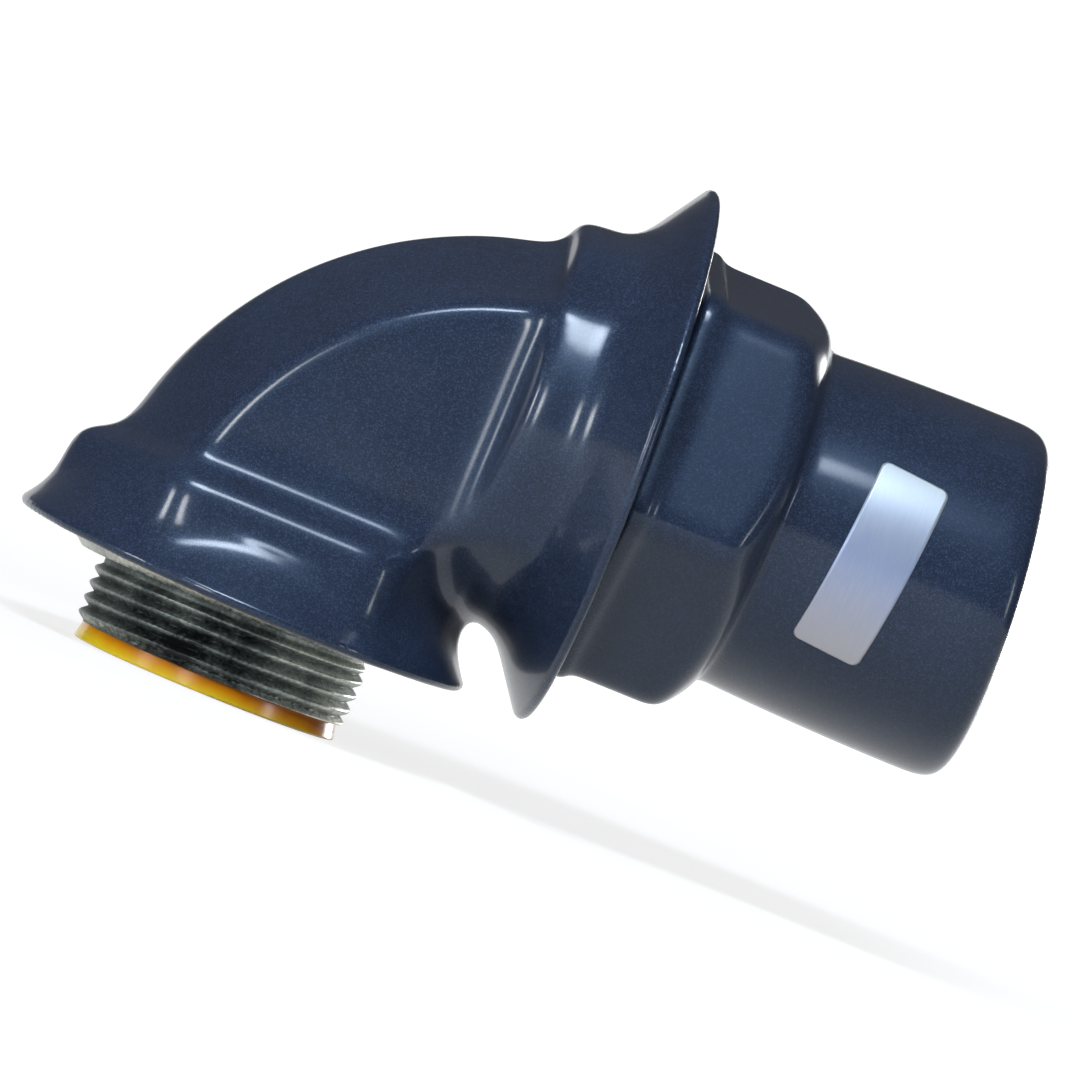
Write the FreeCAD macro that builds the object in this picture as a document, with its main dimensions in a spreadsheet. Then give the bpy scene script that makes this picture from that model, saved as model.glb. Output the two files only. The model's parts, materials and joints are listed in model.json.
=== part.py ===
import FreeCAD, Part
import Sketcher
import math
import os
import re

# A plastic-coated right-angle connector for liquidtight flexible conduit, trade size 1-1/4.
# The hub axis is Z: the pipe thread points down from the seat at Z = 0, on the wall of an enclosure.
# The outlet axis runs along X, above the seat, and takes the conduit through the gland nut.

# Driving dimensions, in millimetres and degrees
DIMENSIONS = [
    ("coat", 1.1, "thickness of the moulded coat"),
    ("thread_radius", 21.08, "radius over the pipe thread"),
    ("thread_length", 10.0, "length of the pipe thread below the seat"),
    ("thread_chamfer", 0.8, "chamfer at the start of a thread"),
    ("hub_wall", 2.48, "wall of the hub under the pipe thread"),
    ("seat_width", 2.92, "width of the flat seat round the pipe thread"),
    ("seat_chamfer", 1.5, "height of the chamfer round the seat"),
    ("seat_chamfer_width", 1.8, "width of the chamfer round the seat"),
    ("hub_hex_step", 0.9, "flats of the hub hexagon outside the boss, bare"),
    ("hub_hex_bottom", 6.0, "lower face of the hub hexagon"),
    ("hub_hex_height", 9.6, "height of the hub hexagon, bare"),
    ("hub_corner_round", 5.0, "rounding of the hub hexagon's upright corners, bare"),
    ("hub_edge_round", 2.5, "rounding of the hub hexagon's upper edge, bare"),
    ("bend_rise", 2.0, "straight stretch from the hexagon's lower face to the bend"),
    ("bend_radius", 33.0, "radius of the bend's centre line"),
    ("bend_wall", 4.4, "wall between the wireway and the bend's flat cheek"),
    ("ridge_half", 15.0, "half width of the flat cheek, bare"),
    ("bevel_angle", 65.0, "slope from the cheek to the crown of the bend"),
    ("ridge_round", 2.0, "rounding along the edge of the cheek, bare"),
    ("crown_round", 7.0, "rounding along the crown of the bend, bare"),
    ("collar_reach", 1.5, "round collar past the end of the bend"),
    ("collar_width", 8.2, "width of the round collar, bare"),
    ("collar_step", 4.8, "round collar outside the spigot, bare"),
    ("collar_round", 1.2, "rounding of the collar's near edge, bare"),
    ("root_sink", 0.4, "foot of the collar's fillet below the cheek"),
    ("conduit_radius", 21.1, "outer radius of the largest conduit that goes in"),
    ("conduit_wall", 3.5, "wall of that conduit"),
    ("socket_play", 0.6, "play of the conduit in its socket"),
    ("socket_depth", 12.5, "depth of the conduit socket"),
    ("spigot_wall", 2.3, "wall of the spigot round the socket"),
    ("spigot_length", 15.5, "length of the spigot past the round collar"),
    ("skirt_lip", 1.5, "wall of both skirts"),
    ("hub_skirt_reach", 8.7, "rim of the hub skirt outside the boss"),
    ("hub_skirt_rim", 1.0, "height of the hub skirt's rim above the seat"),
    ("hub_lip_height", 1.6, "upright part of the hub skirt's rim"),
    ("hub_skirt_slope", 40.0, "slope of the hub skirt from its axis"),
    ("hub_skirt_fillet", 3.5, "hollow curve above the hub skirt"),
    ("outlet_skirt_back", 2.1, "root of the outlet skirt before the collar's far side"),
    ("outlet_skirt_flare", 10.6, "rim of the outlet skirt outside the coated collar"),
    ("outlet_skirt_slope", 55.0, "slope of the outlet skirt from its axis"),
    ("outlet_skirt_fillet", 4.0, "hollow curve at the root of the outlet skirt"),
    ("throat_gap", 0.1, "play of the throat bushing in the hub"),
    ("throat_wall", 1.4, "wall of the throat bushing"),
    ("throat_flange_step", 0.98, "edge of the bushing's flange inside the thread's crests"),
    ("throat_flange_depth", 2.5, "thickness of the throat bushing's flange"),
    ("throat_flange_flare", 0.5, "flange narrower beside the hub than at its mouth"),
    ("throat_mouth_round", 1.6, "rounding of the throat bushing's mouth"),
    ("throat_edge_round", 0.3, "rounding of the throat bushing's outer edge"),
    ("ferrule_gap", 0.3, "play of the ferrule in the conduit"),
    ("ferrule_wall", 1.2, "sheet of the ferrule"),
    ("ferrule_step", 1.4, "wireway wider than the ferrule's hole"),
    ("ferrule_length", 20.5, "length of the ferrule"),
    ("ferrule_play", 0.3, "play of the ferrule's flange in the socket"),
    ("ferrule_mouth_round", 1.0, "rounding of the ferrule's mouth"),
    ("nut_standoff", 6.0, "near face of the gland nut past the round collar"),
    ("nut_thread_play", 0.25, "play between nut and spigot threads"),
    ("nut_thread_length", 16.5, "length of the nut's thread"),
    ("nut_cone_length", 3.5, "length of the cone that drives the sealing ring"),
    ("nut_face_wall", 3.1, "end wall of the nut past its cone, bare"),
    ("nut_wall", 3.85, "wall of the nut at its flats, bare"),
    ("nut_corner_round", 4.0, "rounding of the nut's corners, bare"),
    ("nut_face_inset", 2.0, "far face of the nut inside its flats, bare"),
    ("nut_chamfer_angle", 35.0, "chamfer at the nut's far end"),
    ("nut_turn", 12.0, "how far the nut stands turned on its thread at rest"),
    ("mouth_play", 0.5, "play of the conduit in the nut's mouth"),
    ("ring_gap", 0.35, "play of the sealing ring in the nut"),
    ("ring_play", 0.2, "play of the conduit in the sealing ring"),
    ("ring_tip", 0.85, "wall of the sealing ring at its thin end"),
    ("ring_edge", 0.3, "chamfer of the sealing ring's thick end"),
    ("lip_start", 0.7, "bare end of the nut before its coat"),
    ("lip_width", 2.4, "width of the lip at the near end of the nut's coat"),
    ("lip_height", 4.1, "height of that lip over the coated flats"),
    ("lip_round", 0.8, "rounding of that lip"),
    ("lip_fillet", 5.0, "hollow curve from that lip to the flats"),
    ("sleeve_play", 0.8, "play of the conduit in the sleeve"),
    ("sleeve_length", 40.0, "length of the sleeve past the nut"),
    ("sleeve_wall", 3.5, "wall of the sleeve beside the nut"),
    ("sleeve_end_wall", 4.4, "wall of the sleeve near its end"),
    ("sleeve_end_flat", 0.3, "flat ring at the end of the sleeve"),
    ("sleeve_fillet", 1.5, "hollow curve between nut and sleeve"),
    ("sleeve_mouth_round", 0.4, "rounding of the sleeve's inner edge"),
    ("label_place", 16.1, "middle of the label past the nut"),
    ("label_length", 29.6, "label, round the sleeve"),
    ("label_width", 10.5, "label, along the sleeve"),
    ("label_corner", 1.2, "rounding of the label's corners"),
    ("label_drop", 0.8, "middle of the label below the outlet axis"),
    ("label_tilt", 5.5, "how far the label was stuck on askew"),
    ("label_thickness", 0.12, "thickness of the foil label"),
]
NAMES = {name for name, number, meaning in DIMENSIONS}

# Sizes and places that follow from the driving dimensions
FOLLOWING = {
    "seat_radius": "thread_radius + seat_width",
    "boss_radius": "seat_radius + seat_chamfer_width",
    "hub_flats": "2 * (boss_radius + hub_hex_step)",
    "hub_hex_top": "hub_hex_bottom + hub_hex_height",
    "hub_bore_radius": "thread_radius - hub_wall",
    "throat_radius": "hub_bore_radius - throat_gap",
    "throat_bore": "throat_radius - throat_wall",
    "throat_flange": "thread_radius - throat_flange_step",
    "bend_start": "hub_hex_bottom + bend_rise",
    "axis_height": "bend_start + bend_radius",
    "ferrule_radius": "conduit_radius - conduit_wall - ferrule_gap",
    "ferrule_bore": "ferrule_radius - ferrule_wall",
    "passage": "ferrule_bore + ferrule_step",
    "cheek_depth": "passage + bend_wall",
    "socket_radius": "conduit_radius + socket_play",
    "spigot_radius": "socket_radius + spigot_wall",
    "collar_radius": "spigot_radius + collar_step",
    "collar_end": "bend_radius + collar_reach",
    "collar_start": "collar_end - collar_width",
    "root_fillet": "collar_radius - collar_round - cheek_depth + root_sink",
    "spigot_end": "collar_end + spigot_length",
    "socket_start": "spigot_end - socket_depth",
    "ferrule_end": "socket_start + ferrule_length",
    "hub_skirt_radius": "boss_radius + hub_skirt_reach",
    "outlet_skirt_root": "collar_end - outlet_skirt_back",
    "outlet_skirt_radius": "collar_radius + coat + outlet_skirt_flare",
    "nut_thread_radius": "spigot_radius + nut_thread_play",
    "nut_flats": "2 * (nut_thread_radius + nut_wall)",
    "nut_start": "collar_end + nut_standoff",
    "nut_cone_start": "nut_start + nut_thread_length",
    "nut_cone_end": "nut_cone_start + nut_cone_length",
    "nut_end": "nut_cone_end + nut_face_wall",
    "nut_face_radius": "nut_flats / 2 - nut_face_inset",
    "mouth_radius": "conduit_radius + mouth_play",
    "ring_bore": "conduit_radius + ring_play",
    "lip_radius": "nut_flats / 2 + coat + lip_height",
    "sleeve_bore": "conduit_radius + sleeve_play",
    "sleeve_root_radius": "sleeve_bore + sleeve_wall",
    "sleeve_end_radius": "sleeve_bore + sleeve_end_wall",
    "sleeve_round": "sleeve_end_wall - sleeve_mouth_round - sleeve_end_flat",
    "sleeve_end": "nut_end + sleeve_length",
    "label_centre": "nut_end + label_place",
}
HUB = "V_Axis"
OUTLET = "H_Axis"

doc = FreeCAD.newDocument("elbow_connector")
size = doc.addObject("Spreadsheet::Sheet", "size")
for row, (name, number, meaning) in enumerate(DIMENSIONS, start=1):
    size.set(f"A{row}", meaning)
    size.set(f"B{row}", str(number))
    size.setAlias(f"B{row}", name)
doc.recompute()


# Formulas, sketches and forms shared by all sub-parts

def formula(text):
    """A formula written in plain names, made to read the sheet, with following sizes written out in full."""

    def in_full(word):
        name = word[0]
        if name in FOLLOWING:
            return f"({formula(FOLLOWING[name])})"
        return f"size.{name}" if name in NAMES else name

    return re.sub(r"[a-z_]+", in_full, text)


def number_of(text):
    return float(size.evalExpression(formula(text)))


def new_body(name):
    return doc.addObject("PartDesign::Body", name)


def new_sketch(body, plane, start="0"):
    """An empty sketch on one of the body's own planes, moved out along the plane's normal to start."""
    sketch = body.newObject("Sketcher::SketchObject", body.Name + "_sketch")
    support = next(item for item in body.Origin.OriginFeatures if item.Role == plane)
    sketch.AttachmentSupport = (support, [""])
    sketch.MapMode = "FlatFace"
    sketch.setExpression("AttachmentOffset.Base.z", formula(start))
    return sketch


def arc_between(start, end, signed_radius):
    """The shorter arc from start to end: it turns left on a positive radius, right on a negative one."""
    chord = end - start
    radius = abs(signed_radius)
    rise = math.sqrt(max(radius ** 2 - (chord.Length / 2) ** 2, 0))
    left = FreeCAD.Vector(-chord.y, chord.x, 0).normalize()
    centre = (start + end) / 2 + left * math.copysign(rise, signed_radius)
    first, last = (start, end) if signed_radius > 0 else (end, start)
    angles = [math.atan2(point.y - centre.y, point.x - centre.x) for point in (first, last)]
    circle = Part.Circle(centre, FreeCAD.Vector(0, 0, 1), radius)
    return Part.ArcOfCircle(circle, angles[0], angles[1])


def draw_outline(sketch, corners):
    """Closes an outline through corners given as formulas.

    A third formula makes the stretch that leads to a corner an arc of that signed radius."""
    points = [FreeCAD.Vector(number_of(corner[0]), number_of(corner[1]), 0) for corner in corners]
    ends = []
    constraints = []
    formulas = []
    for index, corner in enumerate(corners):
        start, end = points[index - 1], points[index]
        if len(corner) == 2:
            stretch = sketch.addGeometry(Part.LineSegment(start, end))
            ends.append((stretch, 1, 2))
            continue
        signed_radius = number_of(corner[2])
        stretch = sketch.addGeometry(arc_between(start, end, signed_radius))
        ends.append((stretch, 1, 2) if signed_radius > 0 else (stretch, 2, 1))
        constraints.append(Sketcher.Constraint("Radius", stretch, abs(signed_radius)))
        formulas.append(f"abs({formula(corner[2])})")
    for (stretch, first, last), corner, point in zip(ends, corners, points):
        constraints.append(Sketcher.Constraint("DistanceX", stretch, last, point.x))
        formulas.append(formula(corner[0]))
        constraints.append(Sketcher.Constraint("DistanceY", stretch, last, point.y))
        formulas.append(formula(corner[1]))
    for index, (stretch, first, last) in enumerate(ends):
        before, ignored, before_last = ends[index - 1]
        constraints.append(Sketcher.Constraint("Coincident", before, before_last, stretch, first))
    sketch.addConstraint(constraints)
    for index, text in enumerate(formulas):
        sketch.setExpression(f"Constraints[{index}]", text)


def turned(name, axis, corners):
    """A solid turned about the hub axis (radius, height) or about the outlet axis (distance, radius)."""
    body = new_body(name)
    sketch = new_sketch(body, "XZ_Plane")
    draw_outline(sketch, corners)
    turn = body.newObject("PartDesign::Revolution", name + "_turn")
    turn.Profile = sketch
    turn.ReferenceAxis = (sketch, [axis])
    turn.Angle = 360
    if axis == OUTLET:
        body.setExpression("Placement.Base.z", formula("axis_height"))
    return body


def hexagon_bar(name, plane, flats, corner_round, turn, start, end):
    """A hexagon bar with rounded corners, turned by an angle from the plane's first axis."""
    body = new_body(name)
    sketch = new_sketch(body, plane, start)
    half = f"((({flats}) / 2 - ({corner_round})) * tan(30))"
    corners = []
    for side in range(6):
        normal = f"({turn} + {30 + 60 * side})"
        across = f"cos({normal}) * ({flats}) / 2"
        up = f"sin({normal}) * ({flats}) / 2"
        corners.append((f"{across} + sin({normal}) * {half}", f"{up} - cos({normal}) * {half}", corner_round))
        corners.append((f"{across} - sin({normal}) * {half}", f"{up} + cos({normal}) * {half}"))
    draw_outline(sketch, corners)
    pad = body.newObject("PartDesign::Pad", name + "_pad")
    pad.Profile = sketch
    pad.setExpression("Length", formula(f"({end}) - ({start})"))
    return body


def round_upper_edge(body, radius):
    """Rounds all edges of the body's highest face."""
    doc.recompute()
    base = body.Tip
    faces = base.Shape.Faces
    highest = max(range(len(faces)), key=lambda index: faces[index].CenterOfMass.z)
    rounding = body.newObject("PartDesign::Fillet", body.Name + "_round")
    rounding.Base = (base, [f"Face{highest + 1}"])
    rounding.setExpression("Radius", formula(radius))


def swept_round_bend(body, sketch):
    """Turns a section, drawn left of the plane's second axis, through the right angle of the bend."""
    turn = body.newObject("PartDesign::Revolution", body.Name + "_turn")
    turn.Profile = sketch
    turn.ReferenceAxis = (sketch, ["V_Axis"])
    turn.Angle = 90
    body.setExpression("Placement.Base.x", formula("bend_radius"))
    body.setExpression("Placement.Base.z", formula("bend_start"))
    return body


def cheeked_section(sketch, layer, middle):
    """The bend's outline: flat cheeks, bevels and rounded crowns about a middle, grown by a layer of coat."""
    depth = f"(cheek_depth + {layer})"
    ridge = f"(ridge_half + {layer} * tan(bevel_angle / 2))"
    crown = f"({ridge} + {depth} / tan(bevel_angle))"
    ridge_run = f"((ridge_round + {layer}) * tan(bevel_angle / 2))"
    crown_run = f"((crown_round + {layer}) / tan(bevel_angle))"

    def corner(side, face, across, deep, *radius):
        return (f"{side} * ({across}) + {middle}", f"{face} * ({deep})", *radius)

    crown_corner = (f"{crown} - {crown_run} * cos(bevel_angle)", f"{crown_run} * sin(bevel_angle)")
    bevel_corner = (f"{ridge} + {ridge_run} * cos(bevel_angle)", f"{depth} - {ridge_run} * sin(bevel_angle)")
    cheek_corner = (f"{ridge} - {ridge_run}", depth)
    corners = []
    for side in (1, -1):
        corners.append(corner(side, side, *crown_corner, f"crown_round + {layer}"))
        corners.append(corner(side, side, *bevel_corner))
        corners.append(corner(side, side, *cheek_corner, f"ridge_round + {layer}"))
        corners.append(corner(-side, side, *cheek_corner))
        corners.append(corner(-side, side, *bevel_corner, f"ridge_round + {layer}"))
        corners.append(corner(-side, side, *crown_corner))
    draw_outline(sketch, corners)


def cheeked_bend(name, layer):
    """The outside of the bend and of the straight stretch that rises to it, grown by a layer of coat."""
    bend = new_body(name)
    bend_sketch = new_sketch(bend, "XY_Plane")
    cheeked_section(bend_sketch, layer, "-bend_radius")
    swept_round_bend(bend, bend_sketch)
    rise = new_body(name + "_rise")
    rise_sketch = new_sketch(rise, "XY_Plane", "hub_hex_bottom")
    cheeked_section(rise_sketch, layer, "0")
    pad = rise.newObject("PartDesign::Pad", name + "_rise_pad")
    pad.Profile = rise_sketch
    pad.setExpression("Length", formula("bend_rise"))
    return bend, rise


def joined(name, *pieces):
    fuse = doc.addObject("Part::MultiFuse", name)
    fuse.Shapes = list(pieces)
    return fuse


def shared(name, *pieces):
    common = doc.addObject("Part::MultiCommon", name)
    common.Shapes = list(pieces)
    return common


def cut_from(name, base, tool):
    cut = doc.addObject("Part::Cut", name)
    cut.Base = base
    cut.Tool = tool
    return cut


# Elbow casting: hub, hexagon, bend and outlet in one piece, with the wireway bored through

def casting_form():
    hub = turned("hub_metal", HUB, [
        ("0", "-thread_length"),
        ("thread_radius - thread_chamfer", "-thread_length"),
        ("thread_radius", "thread_chamfer - thread_length"),
        ("thread_radius", "0"),
        ("seat_radius", "0"),
        ("boss_radius", "seat_chamfer"),
        ("boss_radius", "hub_hex_bottom"),
        ("0", "hub_hex_bottom"),
    ])
    hexagon = hexagon_bar("hub_hexagon_metal", "XY_Plane", "hub_flats", "hub_corner_round", "0",
                          "hub_hex_bottom", "hub_hex_top")
    round_upper_edge(hexagon, "hub_edge_round")
    outlet = turned("outlet_metal", OUTLET, [
        ("collar_start - root_fillet", "0"),
        ("collar_start - root_fillet", "collar_radius - collar_round - root_fillet"),
        ("collar_start", "collar_radius - collar_round", "root_fillet"),
        ("collar_start + collar_round", "collar_radius", "-collar_round"),
        ("collar_end", "collar_radius"),
        ("collar_end", "spigot_radius"),
        ("spigot_end - thread_chamfer", "spigot_radius"),
        ("spigot_end", "spigot_radius - thread_chamfer"),
        ("spigot_end", "0"),
    ])
    return joined("casting_form", hub, hexagon, *cheeked_bend("bend_metal", "0"), outlet)


def wireway_form():
    hub_bore = turned("hub_bore", HUB, [
        ("0", "-thread_length"),
        ("hub_bore_radius", "-thread_length"),
        ("hub_bore_radius", "bend_start"),
        ("0", "bend_start"),
    ])
    bend_bore = new_body("bend_bore")
    sketch = new_sketch(bend_bore, "XY_Plane")
    draw_outline(sketch, [
        ("passage - bend_radius", "0", "passage"),
        ("-bend_radius", "passage", "passage"),
        ("-passage - bend_radius", "0", "passage"),
        ("-bend_radius", "-passage", "passage"),
    ])
    swept_round_bend(bend_bore, sketch)
    outlet_bore = turned("outlet_bore", OUTLET, [
        ("bend_radius", "0"),
        ("bend_radius", "passage"),
        ("socket_start", "passage"),
        ("socket_start", "socket_radius"),
        ("spigot_end", "socket_radius"),
        ("spigot_end", "0"),
    ])
    return joined("wireway_form", hub_bore, bend_bore, outlet_bore)


# Body jacket: the coat over hexagon, bend and round collar, with a skirt over each joint

def coated_form():
    hexagon = hexagon_bar("hub_hexagon_coat", "XY_Plane", "hub_flats + 2 * coat", "hub_corner_round + coat",
                          "0", "hub_hex_bottom - coat", "hub_hex_top + coat")
    round_upper_edge(hexagon, "hub_edge_round + coat")
    return joined("coated_form", hexagon, *cheeked_bend("bend_coat", "coat"), hub_skirt(), outlet_skirt())


def hub_skirt():
    flat = "(hub_flats / 2 + coat)"
    lip_top = "(hub_skirt_rim + hub_lip_height)"
    curve_out = "hub_skirt_fillet * (1 - cos(hub_skirt_slope))"
    slope_top = f"({lip_top} + (hub_skirt_radius - {flat} - {curve_out}) / tan(hub_skirt_slope))"
    ceiling = "(hub_hex_bottom - coat)"
    inner_top = f"hub_skirt_radius - skirt_lip - ({ceiling} - {lip_top}) * tan(hub_skirt_slope)"
    return turned("hub_skirt", HUB, [
        ("boss_radius", ceiling),
        (inner_top, ceiling),
        ("hub_skirt_radius - skirt_lip", lip_top),
        ("hub_skirt_radius - skirt_lip", "hub_skirt_rim + skirt_lip / 2"),
        ("hub_skirt_radius - skirt_lip / 2", "hub_skirt_rim", "skirt_lip / 2"),
        ("hub_skirt_radius", "hub_skirt_rim + skirt_lip / 2", "skirt_lip / 2"),
        ("hub_skirt_radius", lip_top),
        (f"{flat} + {curve_out}", slope_top),
        (flat, f"{slope_top} + hub_skirt_fillet * sin(hub_skirt_slope)", "-hub_skirt_fillet"),
        ("boss_radius", f"{slope_top} + hub_skirt_fillet * sin(hub_skirt_slope)"),
    ])


def outlet_skirt():
    coated = "(collar_radius + coat)"
    slope_start = "(outlet_skirt_root + outlet_skirt_fillet * sin(outlet_skirt_slope))"
    slope_radius = f"({coated} + outlet_skirt_fillet * (1 - cos(outlet_skirt_slope)))"
    half_lip = "(skirt_lip / 2)"
    rim_radius = f"(outlet_skirt_radius - {half_lip})"
    lip_across = f"{half_lip} * sin(outlet_skirt_slope)"
    lip_up = f"{half_lip} * cos(outlet_skirt_slope)"
    rise = f"({rim_radius} + {lip_up} - {slope_radius})"
    rim = f"({slope_start} + {rise} / tan(outlet_skirt_slope) + {lip_across})"
    return turned("outlet_skirt", OUTLET, [
        ("collar_start - root_fillet", "0"),
        ("collar_start - root_fillet", f"{coated} - collar_round - root_fillet"),
        ("collar_start - coat", "collar_radius - collar_round", "root_fillet - coat"),
        ("collar_start + collar_round", coated, "-collar_round - coat"),
        ("outlet_skirt_root", coated),
        (slope_start, slope_radius, "outlet_skirt_fillet"),
        (f"{rim} - {lip_across}", f"{rim_radius} + {lip_up}"),
        (f"{rim} + {lip_up}", f"{rim_radius} + {lip_across}", f"-{half_lip}"),
        (f"{rim} + {lip_across}", f"{rim_radius} - {lip_up}", f"-{half_lip}"),
        ("collar_end", "collar_radius"),
        ("collar_end", "0"),
    ])


# Insulated throat: the nylon bushing pressed into the hub, with a rounded mouth for the wires

def insulated_throat():
    mouth = "(-thread_length - throat_flange_depth)"
    return turned("insulated_throat", HUB, [
        ("throat_bore", f"{mouth} + throat_mouth_round"),
        ("throat_bore + throat_mouth_round", mouth, "throat_mouth_round"),
        ("throat_flange - throat_edge_round", mouth),
        ("throat_flange", f"{mouth} + throat_edge_round", "throat_edge_round"),
        ("throat_flange - throat_flange_flare", "-thread_length"),
        ("throat_radius", "-thread_length"),
        ("throat_radius", "bend_start - throat_gap"),
        ("throat_bore", "bend_start - throat_gap"),
    ])


# Grounding ferrule: the flanged steel tube that goes inside the conduit and bonds it

def grounding_ferrule():
    return turned("grounding_ferrule", OUTLET, [
        ("socket_start", "ferrule_bore + ferrule_mouth_round", "-ferrule_mouth_round"),
        ("socket_start", "socket_radius - ferrule_play"),
        ("socket_start + ferrule_wall", "socket_radius - ferrule_play"),
        ("socket_start + ferrule_wall", "ferrule_radius + ferrule_mouth_round"),
        ("socket_start + ferrule_wall + ferrule_mouth_round", "ferrule_radius", "ferrule_mouth_round"),
        ("ferrule_end - ferrule_wall", "ferrule_radius"),
        ("ferrule_end", "ferrule_bore + ferrule_wall / 2"),
        ("ferrule_end", "ferrule_bore"),
        ("socket_start + ferrule_mouth_round", "ferrule_bore"),
    ])


# Sealing ring: squeezed between the spigot's end and the nut's cone, on the conduit

def sealing_ring():
    outer = "(nut_thread_radius - ring_gap)"
    cone_run = "nut_cone_length / (nut_thread_radius - mouth_radius)"
    taper_start = "(nut_cone_start - ring_gap)"
    taper_end = f"({taper_start} + ({outer} - ring_bore - ring_tip) * {cone_run})"
    return turned("sealing_ring", OUTLET, [
        ("spigot_end + ring_gap", "ring_bore"),
        ("spigot_end + ring_gap", f"{outer} - ring_edge"),
        ("spigot_end + ring_gap + ring_edge", outer),
        (taper_start, outer),
        (taper_end, "ring_bore + ring_tip"),
        (taper_end, "ring_bore"),
    ])


# Gland nut: a hexagon nut with a cone that drives the ring, chamfered at its far end

def nut_blank(name, layer, start):
    """The nut's outside before it is bored, grown by a layer of coat."""
    corner = f"((nut_flats / 2 + {layer}) / cos(30))"
    face = f"(nut_face_radius + {layer})"
    end = f"(nut_end + {layer})"
    bar = hexagon_bar(name + "_bar", "YZ_Plane", f"nut_flats + 2 * {layer}", f"nut_corner_round + {layer}",
                      "nut_turn", start, end)
    bar.setExpression("Placement.Base.z", formula("axis_height"))
    chamfer = turned(name + "_chamfer", OUTLET, [
        (start, "0"),
        (start, corner),
        (f"{end} - ({corner} - {face}) * tan(nut_chamfer_angle)", corner),
        (end, face),
        (end, "0"),
    ])
    return shared(name, bar, chamfer)


def nut_bore():
    return turned("nut_bore", OUTLET, [
        ("nut_start", "0"),
        ("nut_start", "nut_thread_radius + thread_chamfer"),
        ("nut_start + thread_chamfer", "nut_thread_radius"),
        ("nut_cone_start", "nut_thread_radius"),
        ("nut_cone_end", "mouth_radius"),
        ("nut_end", "mouth_radius"),
        ("nut_end", "0"),
    ])


# Nut jacket: the coat over the nut, with a lip under the skirt and a long sleeve for the conduit

def nut_coated_form():
    start = "(nut_start + lip_start)"
    lip_edge = f"({start} + lip_width)"
    lip = turned("nut_lip", OUTLET, [
        (start, "0"),
        (start, "lip_radius - lip_round"),
        (f"{start} + lip_round", "lip_radius", "-lip_round"),
        (f"{lip_edge} - lip_round", "lip_radius"),
        (lip_edge, "lip_radius - lip_round", "-lip_round"),
        (f"{lip_edge} + lip_fillet", "lip_radius - lip_round - lip_fillet", "lip_fillet"),
        (f"{lip_edge} + lip_fillet", "0"),
    ])
    root = "(nut_end + coat)"
    sleeve = turned("sleeve", OUTLET, [
        ("nut_end", "0"),
        ("nut_end", "sleeve_root_radius + sleeve_fillet"),
        (root, "sleeve_root_radius + sleeve_fillet"),
        (f"{root} + sleeve_fillet", "sleeve_root_radius", "sleeve_fillet"),
        ("sleeve_end - sleeve_round", "sleeve_end_radius"),
        ("sleeve_end", "sleeve_end_radius - sleeve_round", "-sleeve_round"),
        ("sleeve_end", "0"),
    ])
    return joined("nut_coated_form", nut_blank("nut_coat", "coat", start), lip, sleeve)


def conduit_way():
    return turned("conduit_way", OUTLET, [
        ("nut_end", "0"),
        ("nut_end", "sleeve_bore"),
        ("sleeve_end - sleeve_mouth_round", "sleeve_bore"),
        ("sleeve_end", "sleeve_bore + sleeve_mouth_round", "sleeve_mouth_round"),
        ("sleeve_end", "0"),
    ])


# Foil label: a thin rectangle wrapped on the sleeve, a little askew

def foil_label():
    root = "(nut_end + coat + sleeve_fillet)"
    slope = f"(sleeve_end_radius - sleeve_root_radius) / (sleeve_end - sleeve_round - {root})"
    near = "(label_centre - label_width)"
    far = "(label_centre + label_width)"
    near_radius = f"(sleeve_root_radius + ({near} - {root}) * {slope})"
    far_radius = f"(sleeve_root_radius + ({far} - {root}) * {slope})"
    shell = turned("label_shell", OUTLET, [
        (near, near_radius),
        (near, f"{near_radius} + label_thickness"),
        (far, f"{far_radius} + label_thickness"),
        (far, far_radius),
    ])
    half_across = "(label_width / 2)"
    half_up = "(sleeve_end_radius * sin(label_length / 2 / sleeve_end_radius * 180 / pi))"
    corners = []
    for across, up in ((1, -1), (1, 1), (-1, 1), (-1, -1)):
        side = (f"{across} * {half_across}", f"{up} * ({half_up} - label_corner)")
        end = (f"{across} * ({half_across} - label_corner)", f"{up} * {half_up}")
        first, second = (end, side) if across * up < 0 else (side, end)
        corners.append(first)
        corners.append((*second, "label_corner"))
    outline = new_body("label_outline")
    sketch = new_sketch(outline, "XZ_Plane")
    draw_outline(sketch, corners)
    pad = outline.newObject("PartDesign::Pad", "label_outline_pad")
    pad.Profile = sketch
    pad.setExpression("Length", formula("2 * sleeve_end_radius"))
    outline.Placement = FreeCAD.Placement(FreeCAD.Vector(), FreeCAD.Rotation(FreeCAD.Vector(0, 1, 0), 1))
    outline.setExpression("Placement.Base.x", formula("label_centre"))
    outline.setExpression("Placement.Base.z", formula("axis_height - label_drop"))
    outline.setExpression("Placement.Rotation.Angle", formula("label_tilt"))
    return shared("foil_label", shell, outline)


# The sub-parts of the connector, each under its own name
casting_outside = casting_form()
nut_outside = nut_blank("nut_metal", "0", "nut_start")
nodes = {
    "elbow_casting": cut_from("elbow_casting", casting_outside, wireway_form()),
    "body_jacket": cut_from("body_jacket", coated_form(), casting_outside),
    "insulated_throat": insulated_throat(),
    "grounding_ferrule": grounding_ferrule(),
    "sealing_ring": sealing_ring(),
    "gland_nut": cut_from("gland_nut", nut_outside, nut_bore()),
    "nut_jacket": cut_from("nut_jacket", nut_coated_form(), joined("nut_inside", nut_outside, conduit_way())),
    "foil_label": foil_label(),
}
for label, node in nodes.items():
    node.Label = label
doc.recompute()

# Every object is sound before any sub-part is written
failed = [item.Name for item in doc.Objects if "Invalid" in item.State or "Error" in item.State]
unsound = [label for label, node in nodes.items() if node.Shape.isNull() or not node.Shape.isValid()]
if failed or unsound:
    raise RuntimeError(f"not built: {failed}, unsound: {unsound}")

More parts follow.
